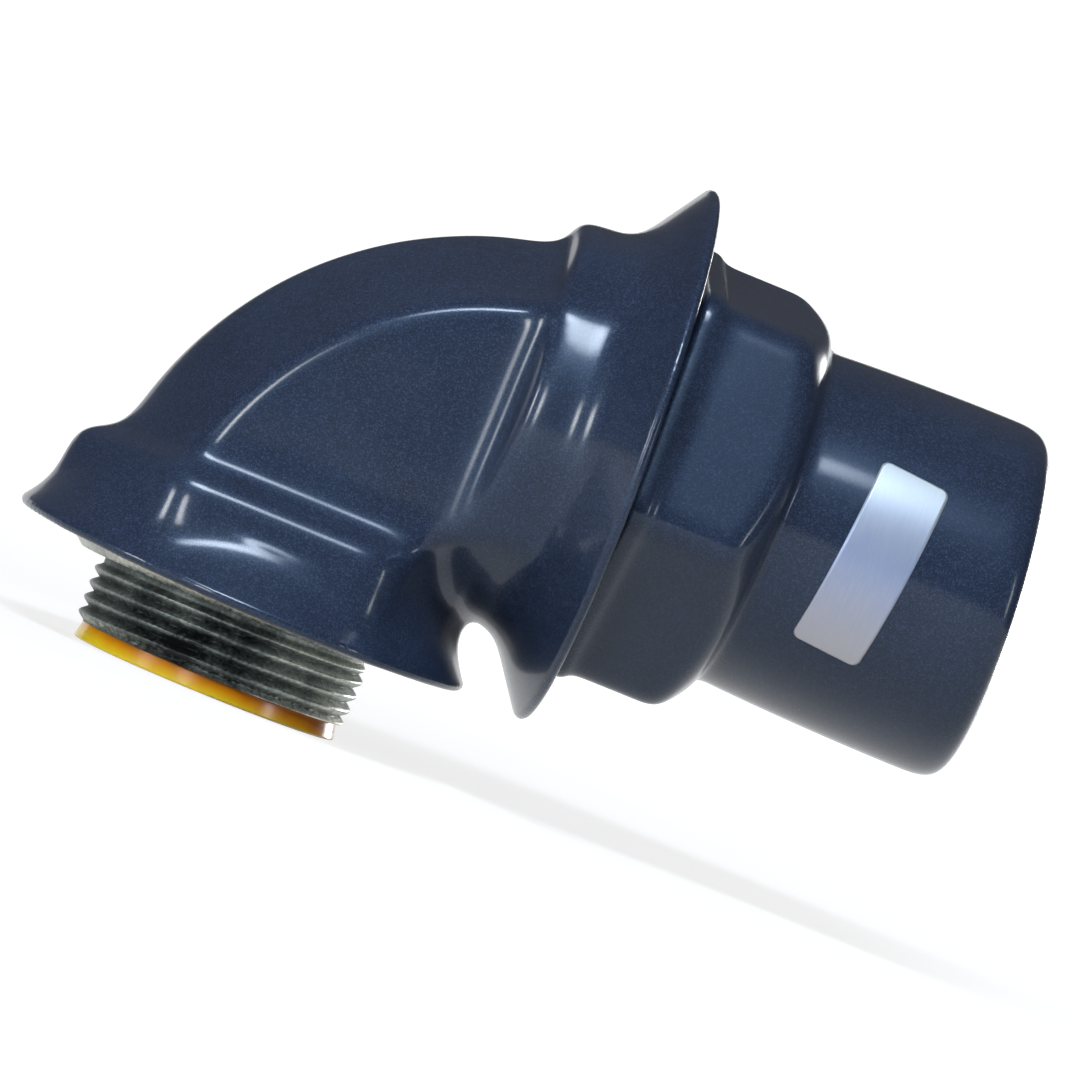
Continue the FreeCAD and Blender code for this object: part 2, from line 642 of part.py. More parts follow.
os.makedirs("parts", exist_ok=True)
for label, node in nodes.items():
    node.Shape.exportStep(f"parts/{label}.step")
    print(f"{label}: {len(node.Shape.Solids)} solid, {node.Shape.Volume / 1000:.2f} cm3")
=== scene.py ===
# %% [markdown]
# # A coated elbow connector for liquidtight conduit
# The real fitting is a galvanised iron elbow, dipped in thick glossy plastic, with a coated gland nut on
# its outlet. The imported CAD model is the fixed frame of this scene, and each new piece is made in its own
# place in that frame, so nothing has to be moved there. CAD sizes are in millimetres and Blender works in
# metres, so MM stands wherever the two meet.

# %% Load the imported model
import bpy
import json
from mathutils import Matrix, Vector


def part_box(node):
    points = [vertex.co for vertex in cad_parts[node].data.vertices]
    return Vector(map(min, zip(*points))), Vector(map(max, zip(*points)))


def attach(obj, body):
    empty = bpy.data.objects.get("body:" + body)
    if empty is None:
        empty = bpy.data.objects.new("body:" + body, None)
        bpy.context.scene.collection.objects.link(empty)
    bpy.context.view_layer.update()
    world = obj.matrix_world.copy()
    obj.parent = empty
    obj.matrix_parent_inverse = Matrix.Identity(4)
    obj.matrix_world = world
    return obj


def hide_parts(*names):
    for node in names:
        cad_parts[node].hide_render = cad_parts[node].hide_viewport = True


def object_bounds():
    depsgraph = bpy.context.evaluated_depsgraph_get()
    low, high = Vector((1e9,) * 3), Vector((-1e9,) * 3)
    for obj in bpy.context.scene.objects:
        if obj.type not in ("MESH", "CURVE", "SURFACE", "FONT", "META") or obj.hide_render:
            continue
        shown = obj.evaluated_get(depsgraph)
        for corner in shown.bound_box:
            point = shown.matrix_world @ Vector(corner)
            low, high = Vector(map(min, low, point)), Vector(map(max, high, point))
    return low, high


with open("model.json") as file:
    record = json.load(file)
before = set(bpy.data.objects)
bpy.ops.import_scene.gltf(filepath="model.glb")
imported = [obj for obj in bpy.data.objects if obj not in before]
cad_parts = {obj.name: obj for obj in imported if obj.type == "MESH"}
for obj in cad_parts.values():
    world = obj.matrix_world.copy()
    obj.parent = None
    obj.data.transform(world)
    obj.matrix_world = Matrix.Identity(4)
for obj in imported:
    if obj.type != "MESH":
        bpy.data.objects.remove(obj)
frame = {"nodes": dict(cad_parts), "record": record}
cad_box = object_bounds()

import ast
import json
import math
import bpy
from mathutils import Matrix, Vector

MM = 0.001
scene = bpy.context.scene
conduit_entry = next(mount for mount in frame["record"]["mounts"] if mount["name"] == "conduit_entry")
AXIS_HEIGHT = conduit_entry["pos_m"][2] / MM
print("nodes", sorted(frame["nodes"]))
print("the outlet's axis is", round(AXIS_HEIGHT, 2), "mm over the seat")

# %% [markdown]
# ## Adding a node
# Shapes and finishes here are both node trees. They could be wired by hand in the editor, but in a script
# they can be read and changed in one place. One small function adds a node of any kind, with its settings
# and its links.

# %% Add a node
def add_node(tree, kind, inputs=None, stops=(), **settings):
    """Adds one node. Inputs are values for its sockets, or sockets to link. Stops are a ramp's colours."""
    node = tree.nodes.new(kind)
    for name, value in settings.items():
        setattr(node, name, value)
    for key, value in (inputs or {}).items():
        if isinstance(value, bpy.types.NodeSocket):
            tree.links.new(value, node.inputs[key])
        else:
            node.inputs[key].default_value = value
    for index, (position, colour) in enumerate(stops):
        elements = node.color_ramp.elements
        element = elements[index] if index < 2 else elements.new(position)
        element.position, element.color = position, colour
    return node


# %% [markdown]
# ## Formulas as Math nodes
# A distance or a blend reads best as a formula, but a tree needs one Math node for each sign in it.
# Python's own parser splits the text here, and each sign or call becomes one node, so the script keeps the
# form that can be read. A name in a formula stands for a socket or for a plain number.

# %% Write a formula
SIGNS = {ast.Add: "ADD", ast.Sub: "SUBTRACT", ast.Mult: "MULTIPLY", ast.Div: "DIVIDE"}


def write_formula(tree, text, names):
    """Writes a formula as Math nodes and gives the last one's output. Its calls are Math operations."""

    def build(part):
        if isinstance(part, ast.Constant):
            return part.value
        if isinstance(part, ast.Name):
            return names[part.id]
        if isinstance(part, ast.UnaryOp):
            operation, pieces = "MULTIPLY", [part.operand, ast.Constant(-1)]
        elif isinstance(part, ast.BinOp):
            operation, pieces = SIGNS[type(part.op)], [part.left, part.right]
        else:
            operation, pieces = part.func.id.upper(), part.args
        sockets = {index: build(piece) for index, piece in enumerate(pieces)}
        return add_node(tree, "ShaderNodeMath", sockets, operation=operation).outputs[0]

    return build(ast.parse(text).body[0].value)


def write_formulas(tree, names, formulas):
    """Writes named formulas in order. Each one may use the names before it."""
    for name, text in formulas.items():
        names[name] = write_formula(tree, text, names)


# %% [markdown]
# ## Geometry trees
# Each new piece follows a rule, so Geometry Nodes make it, with a named input for every size. Mesh code would
# do as well, but a tree's sizes can be tried out in the modifier panel. The result is kept as a plain mesh,
# because joints and export work on plain meshes, and the modifier goes.

# %% Start a geometry tree, and run it
def new_tree(name, sizes):
    """A geometry tree with a mesh in, a mesh out and one number input for each named size."""
    tree = bpy.data.node_groups.new(name, "GeometryNodeTree")
    tree.interface.new_socket("Geometry", in_out="INPUT", socket_type="NodeSocketGeometry")
    tree.interface.new_socket("Geometry", in_out="OUTPUT", socket_type="NodeSocketGeometry")
    for label, value in sizes.items():
        socket = tree.interface.new_socket(label, in_out="INPUT", socket_type="NodeSocketFloat")
        socket.default_value = value
    entry = add_node(tree, "NodeGroupInput")
    return tree, entry.outputs["Geometry"], {label: entry.outputs[label] for label in sizes}


def new_piece(name, mesh=None):
    """A new object in the scene, at the origin, with a mesh of its own or a given one."""
    piece = bpy.data.objects.new(name, mesh or bpy.data.meshes.new(name))
    scene.collection.objects.link(piece)
    return piece


def run_tree(name, tree, sizes, source=None):
    """Runs a tree on a new object with its sizes, and keeps the result as a plain mesh."""
    piece = new_piece(name, source)
    modifier = piece.modifiers.new("nodes", "NODES")
    modifier.node_group = tree
    for item in tree.interface.items_tree:
        if item.in_out == "INPUT" and item.name in sizes:
            modifier[item.identifier] = float(sizes[item.name])
    graph = bpy.context.evaluated_depsgraph_get()
    mesh = bpy.data.meshes.new_from_object(piece.evaluated_get(graph))
    piece.modifiers.remove(modifier)
    piece.data = mesh
    mesh.name = name
    mesh.calc_loop_triangles()
    print(name, len(mesh.vertices), "points", len(mesh.loop_triangles), "triangles")
    return piece


# %% [markdown]
# ## Colours and materials
# Colours are written as sRGB hex values, as a paint program shows them, and turned to linear once.
# A material is one Principled shader. Plain values go on its own sockets, and only what varies over the
# surface is linked. Patterns read Object coordinates, so a size in millimetres is a size on the part.

# %% Colour, and a new material
def linear(hex_text):
    """An sRGB hex colour as the linear colour that shaders work in."""
    channels = [int(hex_text[place:place + 2], 16) / 255 for place in (1, 3, 5)]
    curve = [c / 12.92 if c <= 0.04045 else ((c + 0.055) / 1.055) ** 2.4 for c in channels]
    return (*curve, 1.0)


def new_material(name, **sockets):
    """A material whose plain values are set on its shader's own sockets."""
    material = bpy.data.materials.new(name)
    material.use_nodes = True
    tree = material.node_tree
    shader = tree.nodes["Principled BSDF"]
    for key, value in sockets.items():
        shader.inputs[key.replace("_", " ")].default_value = value
    place = add_node(tree, "ShaderNodeTexCoord").outputs["Object"]
    return material, tree, shader.inputs, place


# %% [markdown]
# ## Dipped PVC
# The coat is PVC that was dipped hot and baked: dark navy and glossy, with fine pearl flakes under the skin.
# A Glossy shader mixed over a Diffuse one could give the shine, but Principled holds both lobes in one: a
# broad bluish glow from the flakes, and a Coat for the small white highlight of the clear skin.
# Each flake is one cell of a Voronoi pattern, and a few cells are paler than the rest.

# %% Dipped PVC coat
# Real flakes are under 0.1 mm. They are drawn at 0.17 mm, over a pixel wide, so that they show.
FLAKE = 0.17 * MM
FLAKE_SHOW = 0.2
CLOUD = 15 * MM
coat_pvc, tree, sockets, place = new_material(
    "dipped_pvc_coat", IOR=1.53, Specular_IOR_Level=0.24, Roughness=0.36, Specular_Tint=linear("#b9dcff"),
    Coat_Weight=0.7, Coat_Roughness=0.12, Coat_IOR=1.36)
cells = add_node(tree, "ShaderNodeTexVoronoi", {"Vector": place, "Scale": 1 / FLAKE})
lots = add_node(tree, "ShaderNodeSeparateColor", {0: cells.outputs["Color"]})
flake = write_formula(tree, "lot * lot * lot", {"lot": lots.outputs[0]})
cloud = add_node(tree, "ShaderNodeTexNoise", {"Vector": place, "Scale": 1 / CLOUD, "Detail": 3.0})
body = add_node(tree, "ShaderNodeValToRGB", {"Fac": cloud.outputs[0]},
                stops=[(0.3, linear("#19202f")), (0.7, linear("#1e2839"))])
flaked = add_node(tree, "ShaderNodeMix", {
    "Factor": write_formula(tree, f"flake * {FLAKE_SHOW}", {"flake": flake}),
    "A": body.outputs[0], "B": linear("#62749f")}, data_type="RGBA")
tree.links.new(flaked.outputs["Result"], sockets["Base Color"])
print("made", coat_pvc.name, "with flakes of", FLAKE / MM, "mm")

# %% [markdown]
# ## Orange peel and tilted flakes
# A thick coat dries with a faint orange peel, and its flakes lie at slightly different angles, so they catch
# a lamp one by one. Modelling either would take millions of faces. A Bump node gives the peel, and each
# Voronoi cell's own random colour is used as a small push on the normal.

# %% The coat's relief
PEEL = 1.7 * MM
PEEL_DEPTH = 0.03 * MM
FLAKE_TILT = 0.12
peel = add_node(tree, "ShaderNodeTexNoise", {"Vector": place, "Scale": 1 / PEEL, "Detail": 2.0})
peeled = add_node(tree, "ShaderNodeBump", {
    "Height": peel.outputs[0], "Strength": 0.3, "Distance": PEEL_DEPTH})
lean = add_node(tree, "ShaderNodeVectorMath", {
    0: cells.outputs["Color"], 1: (0.5, 0.5, 0.5)}, operation="SUBTRACT")
much = write_formula(tree, f"flake * {FLAKE_TILT}", {"flake": flake})
leaning = add_node(tree, "ShaderNodeVectorMath", {0: lean.outputs[0], "Scale": much}, operation="SCALE")
tilted = add_node(tree, "ShaderNodeVectorMath", {
    0: peeled.outputs[0], 1: leaning.outputs[0]}, operation="ADD")
unit_normal = add_node(tree, "ShaderNodeVectorMath", {0: tilted.outputs[0]}, operation="NORMALIZE")
tree.links.new(unit_normal.outputs[0], sockets["Normal"])
print("peel", PEEL / MM, "mm wide on", coat_pvc.name)

# %% [markdown]
# ## Galvanised iron, place by place
# The thread and the seat are bare cast iron, hot dipped in zinc. White oxide sits on the seat and at the cut
# end. The roots are painted darker than the crests, as painted shade in the thread's hollows. A band of
# painted shade darkens the thread around x = -6 mm, where the iron would reflect the dark room, and painted
# light makes it lighter towards +X. An image mask could say where, but it would not follow a changed
# thread. The distance from the hub's axis tells crest from root, so formulas find each place.

# %% Places on the galvanised iron
GRAIN = 0.6 * MM
SMEAR = 7 * MM
galvanised, tree, sockets, place = new_material("galvanised_cast_iron", Metallic=0.75)
iron_places = dict(zip("xyz", add_node(tree, "ShaderNodeSeparateXYZ", {0: place}).outputs))
for name, width in (("grain", GRAIN), ("smear", SMEAR)):
    iron_places[name] = add_node(tree, "ShaderNodeTexNoise", {
        "Vector": place, "Scale": 1 / width, "Detail": 5.0}).outputs[0]
# Distances are in millimetres from the hub's axis and from the seat.
iron_places |= {
    "mm": MM, "root": 19.9, "seat_edge": 0.05, "end_edge": 9.0,
    "grease_x": -6.0, "grease_half": 14.0, "grease_top": 1.0, "grease_run": 4.0,
    "worn_x": 3.0, "worn_run": 12.0,
}
write_formulas(tree, iron_places, {
    "radius": "sqrt(x * x + y * y) / mm",
    "crest": "minimum(maximum(radius - root, 0), 1)",
    "seat": "minimum(maximum((z / mm + seat_edge + (grain - 0.5) * 1.0) * 4, 0), 1)",
    "end": "minimum(maximum((-z / mm - end_edge + (grain - 0.5) * 2) * 2, 0), 1)",
    # Painted shade: a band around x = -6 mm, fading in below z = -1 mm, darkens the iron as a dark reflection
    # would.
    "greasy": "minimum(maximum(-z / mm - grease_top, 0) / grease_run, 1)",
    "grease": "maximum(1 - absolute(x / mm - grease_x) / grease_half, 0) * greasy",
    # The worn term here is painted light: the iron is made lighter towards +X, from x = 3 mm over 12 mm.
    "worn": "minimum(maximum(x / mm - worn_x, 0) / worn_run, 1)",
})
print("found the crests, seat, cut end, grease and wear of", galvanised.name)

# %% [markdown]
# ## Galvanised iron, its greys
# Zinc leaves a grey, slightly green skin. One number, from near black at 0 to white oxide at 1, is added up
# from the places, painted shade and painted light among them, and a colour ramp turns it into a grey.
# Crests are rubbed smoother than roots, so the roughness follows too, and a Bump pits the skin.

# %% Galvanised cast iron
PIT_DEPTH = 0.12 * MM
write_formulas(tree, iron_places, {
    # The crest term paints the roots darker than the crests: painted shade in the thread's hollows.
    "zinc": "crest * 0.2 + end * 0.3 + (grain - 0.5) * 0.75 + (smear - 0.5) + 0.26 "
            "+ worn * 0.2 - grease * 0.4",
    "shade": "zinc * (1 - seat) + seat * (0.74 + (grain - 0.5) * 0.7 + (smear - 0.5) * 0.5)",
    "rough": "0.55 - crest * 0.2 + (grain - 0.5) * 0.4",
})
skin = add_node(tree, "ShaderNodeValToRGB", {"Fac": iron_places["shade"]}, stops=[
    (0.0, linear("#1c2021")), (1.0, linear("#e6e2d4")), (0.3, linear("#59615f")),
    (0.55, linear("#8b938e")), (0.8, linear("#bfc1b6"))])
tree.links.new(skin.outputs[0], sockets["Base Color"])
tree.links.new(iron_places["rough"], sockets["Roughness"])
pitted = add_node(tree, "ShaderNodeBump", {
    "Height": iron_places["grain"], "Strength": 0.7, "Distance": PIT_DEPTH})
tree.links.new(pitted.outputs[0], sockets["Normal"])
print("made", galvanised.name, "with a grain of", GRAIN / MM, "mm")

# %% [markdown]
# ## Amber nylon
# The throat bushing is moulded nylon: light goes in and comes out deeper in colour, which Subsurface gives.
# Transmission would make it look like glass. Its band is brown where it meets the iron and yellow at its
# lower edge, and it is painted yellower towards -X, as painted light from that side, so the ramp follows
# height, a little of X and a haze.

# %% Moulded amber nylon
HAZE = 9 * MM
amber_nylon, tree, sockets, place = new_material(
    "moulded_amber_nylon", Roughness=0.2, IOR=1.53, Subsurface_Weight=0.25,
    Subsurface_Scale=4.0 * MM, Subsurface_Radius=(1.0, 0.6, 0.08))
band = dict(zip("xyz", add_node(tree, "ShaderNodeSeparateXYZ", {0: place}).outputs))
band["haze"] = add_node(tree, "ShaderNodeTexNoise", {
    "Vector": place, "Scale": 1 / HAZE, "Detail": 2.0}).outputs[0]
band |= {"mm": MM, "band_top": 10.2, "band_height": 2.2, "yellow_run": 60.0}
# The X term is painted light: the band is made yellower towards -X.
depth = write_formula(
    tree, "(-z / mm - band_top) / band_height + (haze - 0.5) * 0.9 - x / mm / yellow_run", band)
amber = add_node(tree, "ShaderNodeValToRGB", {"Fac": depth}, stops=[
    (0.0, linear("#a85a00")), (1.0, linear("#ffd824")), (0.45, linear("#e89a00"))])
tree.links.new(amber.outputs[0], sockets["Base Color"])
print("made", amber_nylon.name)

# %% [markdown]
# ## Plated steel
# The ferrule inside is pressed steel with bright zinc plating. One low roughness all over would make it a
# plain mirror. A metal's look is its colour and its roughness, so one fine noise moves both of them a little.

# %% Zinc-plated steel
SPANGLE = 0.9 * MM
plated_steel, tree, sockets, place = new_material("zinc_plated_steel", Metallic=1.0)
spangle = add_node(tree, "ShaderNodeTexNoise", {"Vector": place, "Scale": 1 / SPANGLE, "Detail": 4.0})
plating = add_node(tree, "ShaderNodeValToRGB", {"Fac": spangle.outputs[0]},
                   stops=[(0.3, linear("#9a9b98")), (0.7, linear("#c4c5c0"))])
tree.links.new(plating.outputs[0], sockets["Base Color"])
dulled = write_formula(tree, "spangle * 0.2 + 0.22", {"spangle": spangle.outputs[0]})
tree.links.new(dulled, sockets["Roughness"])
print("made", plated_steel.name)

# %% [markdown]
# ## Natural nylon
# The sealing ring is nylon with no dye in it: ivory, and milky because light scatters inside. A flat ivory
# would look painted, so a little Subsurface gives the milk, and a soft noise the slight clouds of a moulded
# piece.

# %% Moulded natural nylon
MILK = 4 * MM
natural_nylon, tree, sockets, place = new_material(
    "moulded_natural_nylon", Roughness=0.4, IOR=1.53, Subsurface_Weight=0.2, Subsurface_Scale=1.0 * MM)
milk = add_node(tree, "ShaderNodeTexNoise", {"Vector": place, "Scale": 1 / MILK, "Detail": 2.0})
ivory = add_node(tree, "ShaderNodeValToRGB", {"Fac": milk.outputs[0]},
                 stops=[(0.3, linear("#cfcabb")), (0.7, linear("#dfdbce"))])
tree.links.new(ivory.outputs[0], sockets["Base Color"])
print("made", natural_nylon.name)

# %% [markdown]
# ## Satin foil
# The label is rolled silver foil with a satin face. Its colour is painted to shift along its length, from
# warm grey through blue to pale silver, a painted sheen of the light that the curved foil would reflect.
# Full Metallic would only mirror the dark room, so it is set halfway. The rolling lines are a noise that a
# Mapping node stretches.

# %% Satin silver foil
# Rolled foil's lines are finer than 0.1 mm. They are drawn 3 / 14, about 0.2 mm wide, so that they show.
LINE_LENGTH = 3 * MM
LINE_STRETCH = (14.0, 1.0, 1.0)
satin_foil, tree, sockets, place = new_material("satin_silver_foil", Metallic=0.5)
rolled = add_node(tree, "ShaderNodeMapping", {"Vector": place, "Scale": LINE_STRETCH})
lines = add_node(tree, "ShaderNodeTexNoise", {
    "Vector": rolled.outputs[0], "Scale": 1 / LINE_LENGTH, "Detail": 3.0})
face = dict(zip("xyz", add_node(tree, "ShaderNodeSeparateXYZ", {0: place}).outputs))
face |= {"lines": lines.outputs[0], "mm": MM, "low_edge": 28.0, "tint_run": 26.0}
# Painted sheen: the foil's colour follows its height on the sleeve.
painted_sheen = write_formula(tree, "(z / mm - low_edge) / tint_run + (lines - 0.5) * 0.35", face)
silver = add_node(tree, "ShaderNodeValToRGB", {"Fac": painted_sheen}, stops=[
    (0.0, linear("#abaab0")), (1.0, linear("#a6b0b5")), (0.5, linear("#8896b5"))])
tree.links.new(silver.outputs[0], sockets["Base Color"])
tree.links.new(write_formula(tree, "lines * 0.12 + 0.36", face), sockets["Roughness"])
print("made", satin_foil.name)

# %% [markdown]
# ## Measuring in millimetres
# On the real fitting the coat is thick PVC that flowed over the iron, so every inner corner is filled softly.
# A Bevel can't follow edges where a cone, a hexagon and a bend meet. So the coat is a distance field: one
# formula for each form, joined by smooth minimums, which leave fillets as a thick liquid does.
# The formulas read the place in millimetres, and a slow noise makes the surface a little uneven.

# %% Place, slope and unevenness
def place_in_mm(tree):
    """The place of each point as three sockets, x, y and z, in millimetres."""
    position = add_node(tree, "GeometryNodeInputPosition").outputs[0]
    scaled = add_node(tree, "ShaderNodeVectorMath", {0: position, 1: (1 / MM,) * 3}, operation="MULTIPLY")
    return dict(zip("xyz", add_node(tree, "ShaderNodeSeparateXYZ", {0: scaled.outputs[0]}).outputs))


def slope(name, degrees, digits=3):
    """An angle's cosine and sine as two named sizes, for a distance to a slanted face."""
    angle = math.radians(degrees)
    return {name + "_cos": round(math.cos(angle), digits), name + "_sin": round(math.sin(angle), digits)}


def unevenness(tree, names):
    """How far a coat lies under its ideal surface, or over it, in dips of some width. All are in mm."""
    scale = write_formula(tree, f"1 / (dip_width * {MM})", names)
    noise = add_node(tree, "ShaderNodeTexNoise", {"Scale": scale, "Detail": 1.0}).outputs[0]
    return write_formula(tree, "(noise - 0.5) * 2 * dip_height", names | {"noise": noise})


# %% [markdown]
# ## Ending a tree
# Every tree ends alike. Realize Instances leaves real geometry for the export. Smooth shading alone would
# smear the trimmed rims, so edges that turn by more than an angle stay sharp. Set Material comes last.

# %% End a tree
SHARP = math.radians(60)


def end_tree(tree, geometry, material):
    """Ends a tree: real geometry, smooth faces with sharp edges where they turn, and its material."""
    whole = add_node(tree, "GeometryNodeRealizeInstances", {"Geometry": geometry})
    smooth = add_node(tree, "GeometryNodeSetShadeSmooth", {"Geometry": whole.outputs[0]})
    angle = add_node(tree, "GeometryNodeInputMeshEdgeAngle").outputs[0]
    turns = write_formula(tree, f"greater_than(angle, {SHARP})", {"angle": angle})
    sharp = add_node(tree, "GeometryNodeSetShadeSmooth", {
        "Geometry": smooth.outputs[0], "Selection": turns, "Shade Smooth": False}, domain="EDGE")
    finished = add_node(tree, "GeometryNodeSetMaterial", {
        "Geometry": sharp.outputs[0], "Material": material})
    add_node(tree, "NodeGroupOutput", {"Geometry": finished.outputs[0]})


# %% [markdown]
# ## Settling a mesh
# A mesh that comes out of a volume shows the steps of its grid, most of all on thin rims. A finer grid costs
# memory, and a blur alone shrinks the piece. So a blur evens the points, and then they move back to where
# the distance is zero. That is done three times, with less blur each time.

# %% Settle a mesh on its surface
SETTLING = [4, 2, 1]
LONGEST_STEP = 0.5


def settle(tree, form, distance, rounds):
    """Evens a mesh by some rounds of blur, and moves its points back to where the distance is zero."""
    position = add_node(tree, "GeometryNodeInputPosition").outputs[0]
    blurred = add_node(tree, "GeometryNodeBlurAttribute", {"Iterations": rounds}, data_type="FLOAT_VECTOR")
    # The node has one Value socket for each data type, and only the one in use is enabled.
    value = next(socket for socket in blurred.inputs if socket.enabled and socket.name == "Value")
    tree.links.new(position, value)
    evened = next(socket for socket in blurred.outputs if socket.enabled)
    even = add_node(tree, "GeometryNodeSetPosition", {"Geometry": form.outputs[0], "Position": evened})
    step = write_formula(
        tree, f"minimum(maximum(-distance, -{LONGEST_STEP}), {LONGEST_STEP}) * {MM}", {"distance": distance})
    normal = add_node(tree, "GeometryNodeInputNormal").outputs[0]
    way = add_node(tree, "ShaderNodeVectorMath", {0: normal, "Scale": step}, operation="SCALE")
    return add_node(tree, "GeometryNodeSetPosition", {
        "Geometry": even.outputs[0], "Offset": way.outputs[0]})


# %% [markdown]
# ## From a distance to a coat
# Volume Cube samples the distance on a grid, and Volume to Mesh draws the surface where it is zero. The coat
# could then be hollowed with more formulas, but it lies on the iron, so the iron's own mesh is cut out of it
# and the two fit face to face.

# %% Grow a coat
COAT_VOXEL = 0.58
FAR_OUTSIDE = -10.0


def grow_coat(tree, distance, low, high, metal):
    """The surface where a distance is zero, as a mesh inside a box in millimetres, less the metal in it."""
    counts = [int((b - a) / COAT_VOXEL) + 1 for a, b in zip(low, high)]
    volume = add_node(tree, "GeometryNodeVolumeCube", {
        "Density": write_formula(tree, "-distance", {"distance": distance}), "Background": FAR_OUTSIDE,
        "Min": Vector(low) * MM, "Max": Vector(high) * MM,
        "Resolution X": counts[0], "Resolution Y": counts[1], "Resolution Z": counts[2]})
    form = add_node(tree, "GeometryNodeVolumeToMesh", {"Volume": volume.outputs[0], "Threshold": 0.0})
    for rounds in SETTLING:
        form = settle(tree, form, distance, rounds)
    coat = add_node(tree, "GeometryNodeMeshBoolean", {"Mesh 1": form.outputs[0], "Mesh 2": metal},
                    operation="DIFFERENCE", solver="MANIFOLD")
    end_tree(tree, coat.outputs[0], coat_pvc)
    print("grid of", counts, "for", tree.name)


# %% [markdown]
# ## Copies of the iron
# A CAD mesh is loose triangles and is never changed. A Boolean needs a closed mesh, so it works on a copy
# whose points are merged first. Merging by hand in Edit Mode would do the same for one mesh.

# %% Merged copies of casting and nut
MERGING = {"reach": 0.0005 * MM}
merge_tree, loose, names = new_tree("merge_triangles", MERGING)
merged = add_node(merge_tree, "GeometryNodeMergeByDistance", {"Geometry": loose, "Distance": names["reach"]})
add_node(merge_tree, "NodeGroupOutput", {"Geometry": merged.outputs[0]})
copies = {node: run_tree(node + "_copy", merge_tree, MERGING, frame["nodes"][node].data.copy())
          for node in ("elbow_casting", "gland_nut")}

# %% [markdown]
# ## Sizes of the elbow's coat
# From the hub up the coat has a flared skirt over the seat, a hexagon, the bend with flat cheeks and a
# bevelled crown, a round collar, and a flared skirt over the nut. Both skirts are a little askew, as
# hand-trimmed ones are. The numbers could stand in the formulas, but as named inputs they can be tried out.
# Edges and fillets are among them, because a smooth minimum's last number is how far it reaches.

# %% Sizes of the elbow's coat
DIPS = {"dip_height": 0.08, "dip_width": 18.0}
ELBOW = DIPS | {
    "axis_height": AXIS_HEIGHT, "half_wall": 0.8, "core": 20.0,
    "hub_flat": 27.8, "hub_top": 16.7, "hub_base": 4.9, "hub_corner": 5.0, "hub_shoulder": 8.0,
    "hub_foot": 0.8,
    "skirt_r": 33.65, "skirt_z": 1.85, "skirt_run": 9.0, "skirt_tilt": 0.02, "skirt_lean": 0.026,
    "skirt_fillet": 4.5,
    "bend_radius": 33.0, "bend_start": 8.0, "cheek": 23.0, "cheek_edge": 3.2, "crown": 26.9,
    "crown_soft": 3.0,
    "collar": 29.1, "collar_draft": 0.09, "collar_near": 25.0, "collar_far": 34.3, "collar_edge": 4.0,
    "collar_back": 6.7, "collar_fillet": 8.0,
    "flare_x": 42.3, "flare_r": 39.7, "flare_run": 12.5, "flare_tilt": 0.036, "flare_fillet": 4.0,
    "crook_x": 34.0, "crook_run": 6.0, "crook_fillet": 6.0, "notch_fillet": 2.0,
}
ELBOW |= slope("hex", 30) | slope("skirt", 50) | slope("bevel", 25) | slope("flare", 35)
elbow_tree, iron, names = new_tree("elbow_coat", ELBOW)
names |= place_in_mm(elbow_tree)
names["uneven"] = unevenness(elbow_tree, names)
print(len(ELBOW), "sizes for", elbow_tree.name)

# %% [markdown]
# ## The hub and its skirt
# The hub is a hexagon with soft corners: the largest of three distances to its pairs of flats. The skirt is a
# wall of even thickness that slants out to a round rim. A spun profile would do, but it could not be askew,
# so the skirt is the distance to a slanted line round the axis, which is round at both ends.

# %% The hub and its skirt
write_formulas(elbow_tree, names, {
    "hub_r": "sqrt(x * x + y * y)",
    "flat_pair": "smooth_max(absolute(y), absolute(hex_cos * x + hex_sin * y), hub_corner)",
    "hexagon": "smooth_max(flat_pair, absolute(hex_cos * x - hex_sin * y), hub_corner) - hub_flat",
    "hub_block": "smooth_max(smooth_max(hexagon, z - hub_top, hub_shoulder), hub_base - z, hub_foot)",
    "level_z": "z - skirt_z - skirt_tilt * (skirt_r - x) - skirt_lean * y",
    "up": "minimum(maximum((skirt_r - hub_r) * skirt_cos + level_z * skirt_sin, 0), skirt_run)",
    "beside": "hub_r - skirt_r + up * skirt_cos",
    "above": "level_z - up * skirt_sin",
    "skirt": "sqrt(beside * beside + above * above) - half_wall",
    "hub": "smooth_min(hub_block, skirt, skirt_fillet)",
})
print("wrote the hub in", len(elbow_tree.nodes), "nodes")

# %% [markdown]
# ## The bend, the collar and the flare
# The bend is a bevelled section swept round a quarter turn, so its distance is measured across that turn.
# The collar is turned, with a slight draft, and the flare is a slanted wall like the skirt's, a little
# askew. Sweeping and joining three meshes would leave hard seams, and smooth minimums leave none.

# %% The bend, the collar and the flare
write_formulas(elbow_tree, names, {
    "out": "maximum(bend_radius - x, 0)",
    "rise": "maximum(z - bend_start, 0)",
    "across": "absolute(sqrt(out * out + rise * rise) - bend_radius)",
    "bevel": "(across - crown) * bevel_cos + sqrt(y * y + crown_soft * crown_soft) * bevel_sin",
    "section": "smooth_max(bevel, absolute(y) - cheek, cheek_edge)",
    "bend": "maximum(maximum(section, x - collar_far), hub_base - z)",
    "outlet_r": "sqrt(y * y + (z - axis_height) * (z - axis_height))",
    "turned_x": "x - flare_x + flare_tilt * (z - axis_height)",
    "drafted": "outlet_r - collar - collar_draft * (x - collar_near)",
    "collar_ring": "maximum(smooth_max(drafted, collar_near - x, collar_edge), turned_x + collar_back)",
    "down": "minimum(maximum((flare_r - outlet_r) * flare_cos - turned_x * flare_sin, 0), flare_run)",
    "ahead": "turned_x + down * flare_sin",
    "outward": "outlet_r - flare_r + down * flare_cos",
    "flare": "sqrt(ahead * ahead + outward * outward) - half_wall",
    "outlet": "smooth_min(smooth_min(bend, collar_ring, collar_fillet), flare, flare_fillet)",
})
